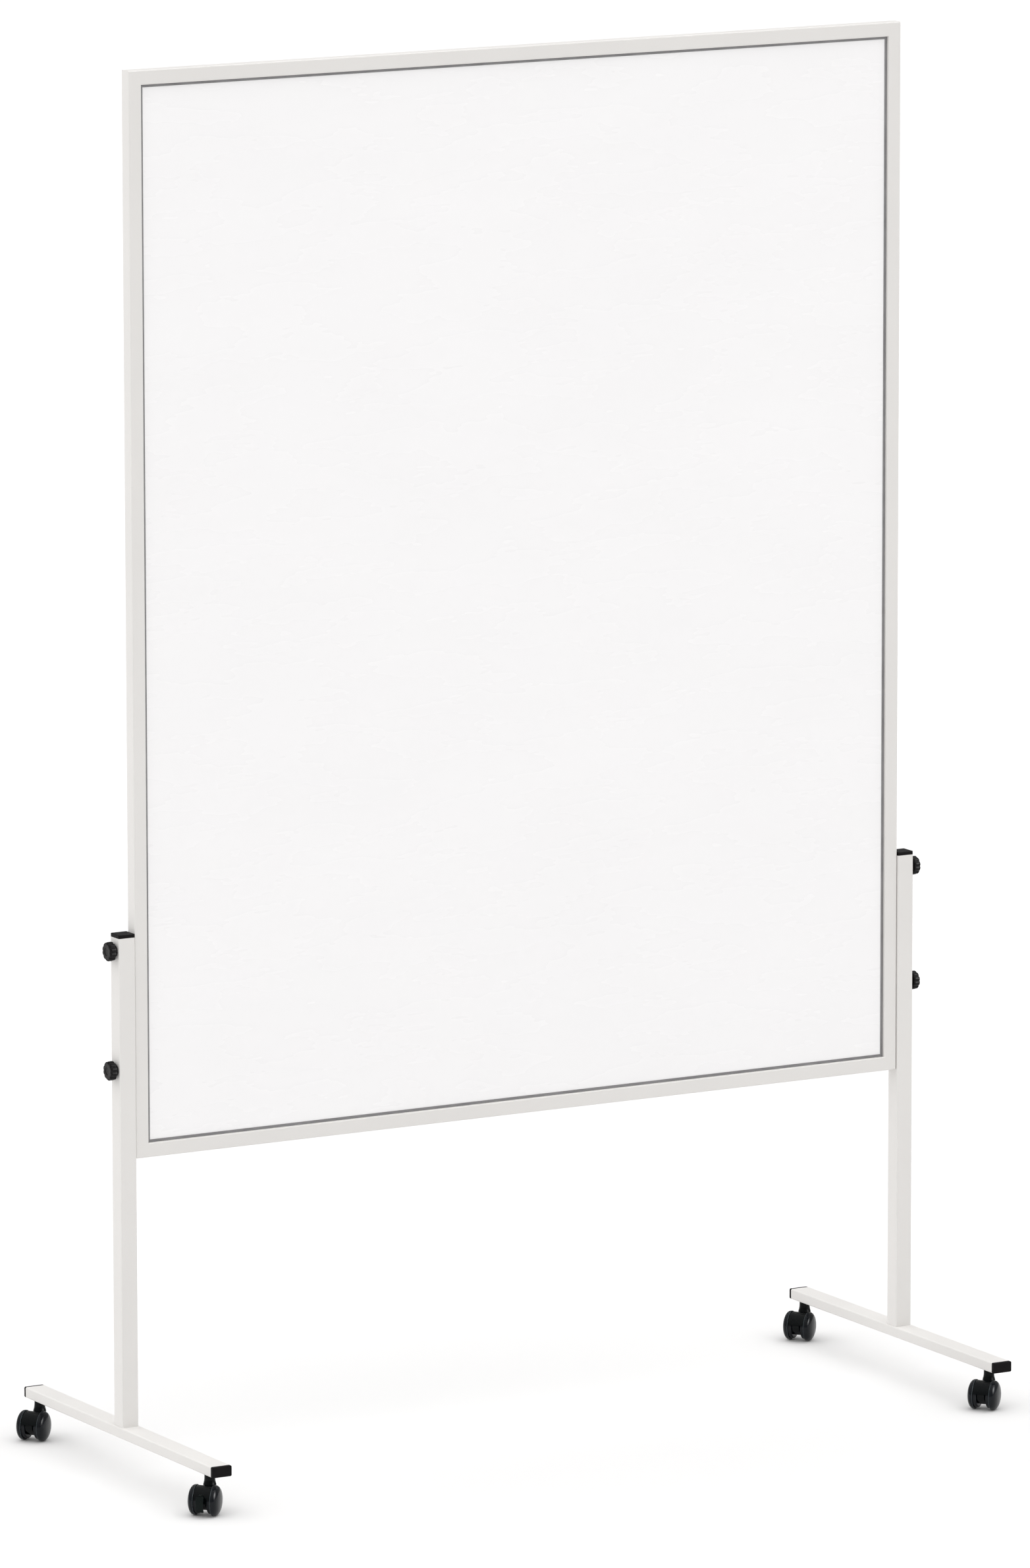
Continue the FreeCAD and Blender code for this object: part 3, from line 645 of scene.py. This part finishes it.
@dataclass
class Knob:
    """Lobed clamping knob on a post, with its stud and washer."""

    side: Side
    level: Level
    lobes: int = 10
    valley: float = 1.5 * MM
    valley_turn: float = math.radians(7.0)
    hub_share: float = 0.6
    hub_tall: float = 2.0 * MM
    turns: int = 240

    @property
    def word(self) -> str:
        """What the names of the knob's nodes begin with."""
        return f"{self.side.label}_{self.level.value}_knob"

    def outline(self, radius: float, height: float) -> tuple[np.ndarray, np.ndarray]:
        """Half section of the head from its seat to the middle of its face.

        Args:
            radius: Radius over the lobes.
            height: Height of the face over the seat.

        Returns:
            The outline, n by 2, and how much of the valley depth holds at each of its points.
        """
        hub = radius * self.hub_share
        low = self.hub_tall
        corners = np.array([
            [0.0, 0.0], [hub, 0.0], [hub, low], [radius * 0.965, low],
            [radius, low + 2.2 * MM], [radius * 0.99, height - 2.0 * MM],
            [radius * 0.86, height], [radius * 0.42, height - 0.25 * MM],
            [radius * 0.38, height - 0.9 * MM], [0.0, height - 0.9 * MM],
        ])
        radii = np.array([0, 0.5, 0.5, 0.9, 2.2, 1.9, 2.0, 0.4, 0.4, 0]) * MM
        outline = rounded(corners, radii, 6)
        share = np.clip((outline[:, 0] - hub) / (radius - hub), 0.0, 1.0)
        return outline, share ** 0.6

    def head(self, finish: bpy.types.Material) -> bpy.types.Object:
        """Makes the head: a turned surface whose radius dips at each valley.

        The dip is the valley depth times a bell curve of the angle to the nearest valley.

        Args:
            finish: Material of the head.

        Returns:
            The new piece.
        """
        low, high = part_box(self.word)
        centre = (np.array(low) + np.array(high)) / 2.0
        radius = (high[1] - low[1]) / 2.0
        height = high[0] - low[0]
        outline, share = self.outline(radius, height)
        angle = np.linspace(0.0, 2.0 * math.pi, self.turns, endpoint=False)[None, :]
        pitch = 2.0 * math.pi / self.lobes
        off = np.abs((angle + pitch / 2.0) % pitch - pitch / 2.0)
        dip = self.valley * np.exp(-(off / self.valley_turn) ** 2)
        reach = np.maximum(outline[:, :1] - share[:, None] * dip, 0.0)
        points = np.stack([reach * np.cos(angle), reach * np.sin(angle),
                           outline[:, 1:] + 0.0 * angle], axis=-1)
        out = self.side.out
        seat = low[0] if out > 0 else high[0]
        axis = np.array([out, 0.0, 0.0])
        across = np.array([0.0, 1.0, 0.0])
        matrix = frame_at(np.array([seat, centre[1], centre[2]]), across, np.cross(axis, across))
        shell = Shell()
        shell.grid(carried(points, matrix), ring=True)
        return shell.piece(self.word + "_head", finish)

    def build(self, finishes: Finishes) -> None:
        """Makes the head, puts it on its body and dresses the stud and the washer."""
        head = self.head(finishes.knob)
        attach(head, f"{self.side.label}_{self.level.value}_knob")
        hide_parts(self.word)
        dress(self.word + "_stud", finishes.zinc)
        dress(self.word + "_washer", finishes.cap)
        LOG.info("%s built", self.word)


@dataclass
class Caster:
    """Twin-wheel swivel caster: housing, wheels, rings and pedal are moulded surfaces.

    Across is along the axle, back is from the stem to the axle, and the sizes are in metres.
    """

    corner: Corner
    braked: bool = False
    turns: int = 160
    dome: float = 2.35
    dome_start: float = 13.6 * MM
    dome_rise: float = 8.9 * MM
    hood_half: float = 11.7 * MM
    hood_skin: float = 0.9 * MM
    hood_inset: float = 0.7 * MM
    hood_crown: float = 0.4 * MM
    hood_lip: float = 0.3 * MM
    hood_end: float = 4.8 * MM
    hood_over: float = 1.2 * MM
    plate_half: float = 6.0 * MM
    plate_low: float = 13.5 * MM
    plate_inset: float = 1.8 * MM
    neck_radius: float = 7.3 * MM
    neck_foot: float = 9.0 * MM
    neck_flare: float = 1.8 * MM
    neck_fade: float = 4.5 * MM
    neck_round: float = 0.7 * MM
    neck_bore: float = 4.55 * MM
    neck_mouth: float = 4.0 * MM
    pedal_radius: float = 26.1 * MM
    pedal_wide: float = 10.6 * MM
    pedal_thick: float = 2.2 * MM
    pedal_aside: float = -0.5 * MM
    pedal_low: float = math.radians(-26.0)
    pedal_high: float = math.radians(22.0)
    arm_wide: float = 5.0 * MM
    arm_thick: float = 3.2 * MM
    arm_up: float = 10.4 * MM
    arm_start: float = 19.2 * MM
    arm_end: float = 23.9 * MM
    stem: np.ndarray = field(init=False)
    axle: np.ndarray = field(init=False)
    back: np.ndarray = field(init=False)
    across: np.ndarray = field(init=False)
    up: np.ndarray = field(init=False)
    radius: float = field(init=False)
    top: float = field(init=False)

    def __post_init__(self) -> None:
        """Reads the caster's place and direction from its CAD nodes."""
        word = self.corner.value
        low, high = (np.array(c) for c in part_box(word + "_caster_stem"))
        self.stem = (low + high) / 2.0
        low, high = (np.array(c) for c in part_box(word + "_caster_axle"))
        self.axle = (low + high) / 2.0
        trail = self.axle[:2] - self.stem[:2]
        self.back = np.array([*(trail / np.linalg.norm(trail)), 0.0])
        self.across = np.array([-self.back[1], self.back[0], 0.0])
        self.up = np.array([0.0, 0.0, 1.0])
        wheel_low, wheel_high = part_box(word + "_caster_left_wheel")
        self.radius = (wheel_high[2] - wheel_low[2]) / 2.0
        self.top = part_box(word + "_caster_housing")[1][2]

    def axle_frame(self, out: float) -> np.ndarray:
        """Matrix with local Z along the axle, away from the middle plate on one side."""
        return frame_at(self.axle, self.back, np.cross(self.across * out, self.back))

    def swept(self, start: float, end: float, steps: int, loop: np.ndarray) -> np.ndarray:
        """A closed section carried round the axle.

        Args:
            start: First angle above the trailing direction, in radians.
            end: Last angle.
            steps: Sections on the way.
            loop: Section points as (distance across, radius).

        Returns:
            Grid of sections by points by 3, in the object's frame.
        """
        angle = np.linspace(start, end, steps)[:, None]
        outward = (np.cos(angle)[..., None] * self.back + np.sin(angle)[..., None] * self.up)
        return (self.axle + loop[None, :, :1] * self.across + loop[None, :, 1:] * outward)

    def wheel(self, hand: Hand, finish: bpy.types.Material) -> bpy.types.Object:
        """Makes a wheel: a stepped tread, a raised rim and a domed outer face.

        The dome runs from the rim to the axle along a quarter of a superellipse.

        Args:
            hand: Which of the two wheels.
            finish: Material of the wheel.

        Returns:
            The new piece.
        """
        r, start = self.radius / MM, self.dome_start / MM
        inside = rounded(np.array([
            [0.0, 7.1], [7.0, 7.1], [7.6, 6.5], [r - 2.4, 6.5],
            [r - 2.4, 12.0], [r - 0.1, 12.0], [r, start],
        ]), np.array([0, 0.3, 0.3, 1.2, 0.2, 0.9, 0]), 7)
        turn = np.linspace(0.0, math.pi / 2.0, 30)
        power = 2.0 / self.dome
        rise = start + self.dome_rise / MM * np.sin(turn) ** power
        face = np.stack([r * np.cos(turn) ** power, rise], axis=-1)
        outline = np.concatenate([inside, face[1:]]) * MM
        points = carried(lathe(outline, self.turns), self.axle_frame(hand.out))
        shell = Shell()
        shell.grid(points, ring=True)
        name = f"{self.corner.value}_{hand.label}_wheel_moulding"
        return shell.piece(name, finish)

    def rim(self, hand: Hand, finish: bpy.types.Material) -> bpy.types.Object:
        """Makes the thin ring on a wheel beside its tread; its pale colour is a painted highlight
        along the rim's edge.

        Args:
            hand: Which of the two wheels.
            finish: Material of the ring.

        Returns:
            The new piece.
        """
        r = self.radius / MM
        band = np.array([[r - 0.9, 11.9], [r - 0.2, 11.9], [r + 0.05, 12.15], [r + 0.08, 12.6],
                         [r - 0.1, 12.85], [r - 0.9, 12.9], [r - 0.9, 11.9]]) * MM
        points = carried(lathe(band, self.turns), self.axle_frame(hand.out))
        shell = Shell()
        shell.grid(points, ring=True)
        return shell.piece(f"{self.corner.value}_{hand.label}_wheel_ring", finish)

    def hood(self, shell: Shell) -> None:
        """Adds the hood: a thin, slightly crowned band carried over the middle plate.

        Its outer radius falls short of the wheel's by an inset, plus a crown times one minus
        the square of the distance across, plus a lip that a high power keeps at the two edges.

        Args:
            shell: Shell of the housing.
        """
        across = np.linspace(-1.0, 1.0, 61)
        outer = self.radius - (self.hood_inset + self.hood_crown * (1.0 - across ** 2)
                               + self.hood_lip * np.abs(across) ** 40)
        top = np.stack([across * self.hood_half, outer], axis=-1)
        low = np.stack([across * self.hood_half, outer - self.hood_skin], axis=-1)[::-1]
        loop = np.concatenate([top, low])
        rise = math.asin(self.hood_end / (self.radius + self.hood_over))
        shell.grid(self.swept(rise, math.pi - rise, 60, loop), ring=True, caps=True)

    def plate(self, shell: Shell) -> None:
        """Adds the middle plate: a round-edged disc that also fills the hood from inside.

        Its radius is the low one under the axle and grows by a smooth step of the sine of the
        angle to nearly the wheel's above it. The two lists give its profile, as shares of that
        radius and of its half thickness.

        Args:
            shell: Shell of the housing.
        """
        angle = np.linspace(0.0, 2.0 * math.pi, 120, endpoint=False)
        blend = np.clip((np.sin(angle) + 0.85) / 1.05, 0.0, 1.0)
        growth = self.radius - self.plate_inset - self.plate_low
        reach = self.plate_low + growth * blend ** 2 * (3.0 - 2.0 * blend)
        share = np.array([0.0, 0.55, 0.6, 0.93, 1.0, 1.0, 0.93, 0.6, 0.55, 0.0])
        depth = np.array([0.78, 0.78, 1.0, 1.0, 0.86, -0.86, -1.0, -1.0, -0.78, -0.78])
        radial = share[:, None] * reach
        outward = (np.cos(angle)[:, None] * self.back + np.sin(angle)[:, None] * self.up)
        points = (self.axle + depth[:, None, None] * self.plate_half * self.across
                  + radial[..., None] * outward[None, :, :])
        shell.grid(points, ring=True)

    def neck(self, shell: Shell) -> None:
        """Adds the neck: a round column whose foot flares into the hood.

        The radius is that of the column plus a flare that fades with height over the hood.

        Args:
            shell: Shell of the housing.
        """
        low = self.axle[2] + self.neck_foot
        height = self.top - low
        rise = np.linspace(0.0, 1.0, 60)
        flare_start = self.axle[2] + self.radius - 4.0 * MM
        over = np.maximum(low + rise * height - flare_start, 0.0)
        radius = self.neck_radius + self.neck_flare * np.exp(-(over / self.neck_fade) ** 1.4)
        edge = np.clip((rise - 0.965) / 0.035, 0.0, 1.0)
        radius = radius - self.neck_round * (1.0 - np.sqrt(1.0 - edge ** 2))
        seat = height - self.neck_mouth
        outline = np.stack([radius, rise * height], axis=-1)
        mouth = np.array([[self.neck_bore, height], [self.neck_bore, seat], [0.0, seat]])
        outline = np.concatenate([[[0.0, 0.0]], outline, mouth])
        origin = np.array([self.stem[0], self.stem[1], low])
        matrix = frame_at(origin, self.back, self.across)
        shell.grid(carried(lathe(outline, 96), matrix), ring=True)

    def housing(self, finish: bpy.types.Material) -> bpy.types.Object:
        """Makes the housing from its hood, middle plate and neck.

        Args:
            finish: Material of the housing.

        Returns:
            The new piece.
        """
        shell = Shell()
        self.hood(shell)
        self.plate(shell)
        self.neck(shell)
        return shell.piece(self.corner.value + "_housing_moulding", finish)

    def pedal(self, finish: bpy.types.Material) -> bpy.types.Object:
        """Makes the brake pedal: a plate bent round the axle, on a straight arm.

        Args:
            finish: Material of the pedal.

        Returns:
            The new piece.
        """
        shell = Shell()
        loop = section(self.pedal_wide, self.pedal_thick, 0.7 * MM)
        loop = loop + np.array([self.pedal_aside, self.pedal_radius])
        shell.grid(self.swept(self.pedal_low, self.pedal_high, 30, loop), ring=True, caps=True)
        arm = section(self.arm_wide, self.arm_thick, 0.8 * MM)
        along = np.linspace(self.arm_start, self.arm_end, 12)[:, None, None]
        points = (self.axle + arm[None, :, :1] * self.across + along * self.back
                  + (arm[None, :, 1:] + self.arm_up) * self.up)
        shell.grid(points, ring=True, caps=True)
        return shell.piece(self.corner.value + "_pedal_moulding", finish)

    def build(self, finishes: Finishes) -> None:
        """Makes the mouldings, puts them on their bodies and dresses the metal pieces."""
        word = self.corner.value
        # The housing's finish is darker than the wheels' as painted shade between the wheels.
        housing = self.housing(finishes.housing)
        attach(housing, word + "_caster")
        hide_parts(word + "_caster_housing")
        for hand in Hand:
            wheel = self.wheel(hand, finishes.caster)
            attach(wheel, f"{word}_{hand.label}_wheel")
            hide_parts(f"{word}_caster_{hand.label}_wheel")
            # The ring's pale finish is the painted rim highlight.
            ring = self.rim(hand, finishes.ring)
            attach(ring, f"{word}_{hand.label}_wheel")
        if self.braked:
            pedal = self.pedal(finishes.pedal)
            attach(pedal, word + "_brake_pedal")
            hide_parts(word + "_caster_brake_pedal")
        dress(word + "_caster_stem", finishes.zinc)
        dress(word + "_caster_axle", finishes.zinc)
        LOG.info("%s caster built", word)


# --- studio --------------------------------------------------------------------------------

@dataclass
class Studio:
    """Floor, sky light, one weak sun and the camera; angles are in degrees."""

    azimuth: float = -29.708
    elevation: float = 9.766
    roll: float = -0.077
    distance: float = 15.569
    lens: float = 256.81
    pivot_height: float = 1.002
    aside: float = -0.0061
    below: float = -0.088
    sky: float = 0.62
    left_sky: float = 0.45
    high_sky: float = 1.4
    mirror_sky: float = 0.5
    softbox: float = 14.0
    softbox_edge: float = 30.0
    softbox_from: tuple[float, float, float] = (0.60, -0.65, 0.46)
    key: float = 0.2
    floor_size: float = 240.0

    def floor(self) -> None:
        """Lays a plain pale floor under the casters."""
        half = self.floor_size / 2.0
        spots = np.array([[-half, -half, 0.0], [half, -half, 0.0], [-half, half, 0.0],
                          [half, half, 0.0]]).reshape(2, 2, 3)
        shell = Shell()
        shell.grid(spots)
        thing = shell.piece("studio_floor", PaleFloor().make())
        if thing.data.polygons[0].normal.z < 0.0:
            thing.data.flip_normals()

    def lights(self) -> None:
        """Sets a bright sky, stronger overhead and from the left, and a weak soft sun.

        The sky's brightness is its level, plus a share of how far the direction points left,
        plus a share of the square of how far it points up. Reflections see it dimmed, as they
        would with dark walls around the set, and with a small softbox at the front right.
        """
        world = bpy.data.worlds.new("studio_sky")
        world.use_nodes = True
        tree = world.node_tree
        coords = tree.nodes.new("ShaderNodeTexCoord")
        parts = tree.nodes.new("ShaderNodeSeparateXYZ")
        tree.links.new(coords.outputs["Generated"], parts.inputs["Vector"])
        left = self.share(tree, parts.outputs["X"], -1.0, self.left_sky)
        high = self.share(tree, parts.outputs["Z"], 1.0, 1.0)
        square = self.reckon(tree, "POWER", high, 2.0)
        zenith = self.reckon(tree, "MULTIPLY_ADD", square, self.high_sky, self.sky)
        total = self.reckon(tree, "ADD", left, zenith)
        tree.nodes["Background"].inputs["Color"].default_value = (1.0, 1.0, 1.0, 1.0)
        mirror = tree.nodes.new("ShaderNodeLightPath").outputs["Is Glossy Ray"]
        dim = self.share(tree, mirror, 1.0, self.mirror_sky - 1.0)
        shade = self.reckon(tree, "MULTIPLY_ADD", total, dim, total)
        facing = tree.nodes.new("ShaderNodeVectorMath")
        facing.operation = "DOT_PRODUCT"
        facing.inputs[1].default_value = Vector(self.softbox_from).normalized()
        tree.links.new(coords.outputs["Generated"], facing.inputs[0])
        front = self.share(tree, facing.outputs["Value"], 1.0, 1.0)
        patch = self.reckon(tree, "POWER", front, self.softbox_edge)
        glow = self.share(tree, mirror, 1.0, self.softbox)
        sheen = self.reckon(tree, "MULTIPLY_ADD", patch, glow, shade)
        tree.links.new(sheen, tree.nodes["Background"].inputs["Strength"])
        bpy.context.scene.world = world
        self.sun("weak_key", self.key, 40.0, (0.45, -0.1, 0.9))

    def reckon(self, tree: bpy.types.NodeTree, kind: str,
               *terms: bpy.types.NodeSocket | float) -> bpy.types.NodeSocket:
        """Adds one arithmetic node to the sky.

        Args:
            tree: Node tree of the sky.
            kind: Name of the operation.
            terms: Its terms, each a socket or a number.

        Returns:
            The result of the node.
        """
        node = tree.nodes.new("ShaderNodeMath")
        node.operation = kind
        for socket, term in zip(node.inputs, terms):
            if isinstance(term, bpy.types.NodeSocket):
                tree.links.new(term, socket)
            else:
                socket.default_value = term
        return node.outputs[0]

    def share(self, tree: bpy.types.NodeTree, source: bpy.types.NodeSocket, far: float,
              most: float) -> bpy.types.NodeSocket:
        """Maps one part of the sky direction, from 0 up to a far value, to 0 up to the most.

        Args:
            tree: Node tree of the sky.
            source: Part of the direction.
            far: Value at which the most is reached.
            most: Output there.

        Returns:
            The mapped value.
        """
        node = tree.nodes.new("ShaderNodeMapRange")
        node.inputs["From Min"].default_value = 0.0
        node.inputs["From Max"].default_value = far
        node.inputs["To Min"].default_value = 0.0
        node.inputs["To Max"].default_value = most
        tree.links.new(source, node.inputs["Value"])
        return node.outputs["Result"]

    def sun(self, name: str, strength: float, spread: float,
            source: tuple[float, float, float]) -> None:
        """Adds a sun.

        Args:
            name: Name of the light.
            strength: Irradiance square to the light.
            spread: Angular size in degrees.
            source: Direction towards the light.
        """
        light = bpy.data.lights.new(name, "SUN")
        light.energy = strength
        light.angle = math.radians(spread)
        thing = bpy.data.objects.new(name, light)
        thing.rotation_euler = Vector(source).to_track_quat("Z", "Y").to_euler()
        bpy.context.scene.collection.objects.link(thing)

    def camera(self) -> None:
        """Places the camera and aims it slightly below its pivot."""
        a, e = math.radians(self.azimuth), math.radians(self.elevation)
        toward = Vector((math.sin(a) * math.cos(e), -math.cos(a) * math.cos(e), math.sin(e)))
        right = Vector((math.cos(a), math.sin(a), 0.0))
        up = Vector((-math.sin(a) * math.sin(e), math.cos(a) * math.sin(e), math.cos(e)))
        pivot = Vector((0.0, 0.0, self.pivot_height))
        place = pivot + toward * self.distance
        aim = pivot + right * self.aside + up * self.below
        turn = (place - aim).to_track_quat("Z", "Y").to_matrix().to_4x4()
        data = bpy.data.cameras.new("studio_camera")
        data.lens = self.lens
        data.sensor_width = 36.0
        data.sensor_fit = "AUTO"
        data.clip_end = 400.0
        thing = bpy.data.objects.new("studio_camera", data)
        thing.matrix_world = (Matrix.Translation(place) @ turn
                              @ Matrix.Rotation(math.radians(self.roll), 4, "Z"))
        bpy.context.scene.collection.objects.link(thing)
        bpy.context.scene.camera = thing

    def build(self) -> None:
        """Makes the whole studio."""
        self.floor()
        self.lights()
        self.camera()
        bpy.context.scene.view_settings.view_transform = "Standard"
        LOG.info("studio built")


def main() -> None:
    """Builds every sub-assembly in order."""
    logging.basicConfig(level=logging.INFO, format="%(name)s: %(message)s")
    finishes = Finishes()
    Board().dress(finishes)
    for side in Side:
        Leg(side).dress(finishes)
        for level in Level:
            Knob(side, level).build(finishes)
    dress("foot_bolts", finishes.zinc)
    dress("caster_thread_inserts", finishes.zinc)
    for corner in Corner:
        Caster(corner, braked=corner is Corner.FRONT_LEFT).build(finishes)
    Studio().build()


if __name__ == "__main__":
    main()
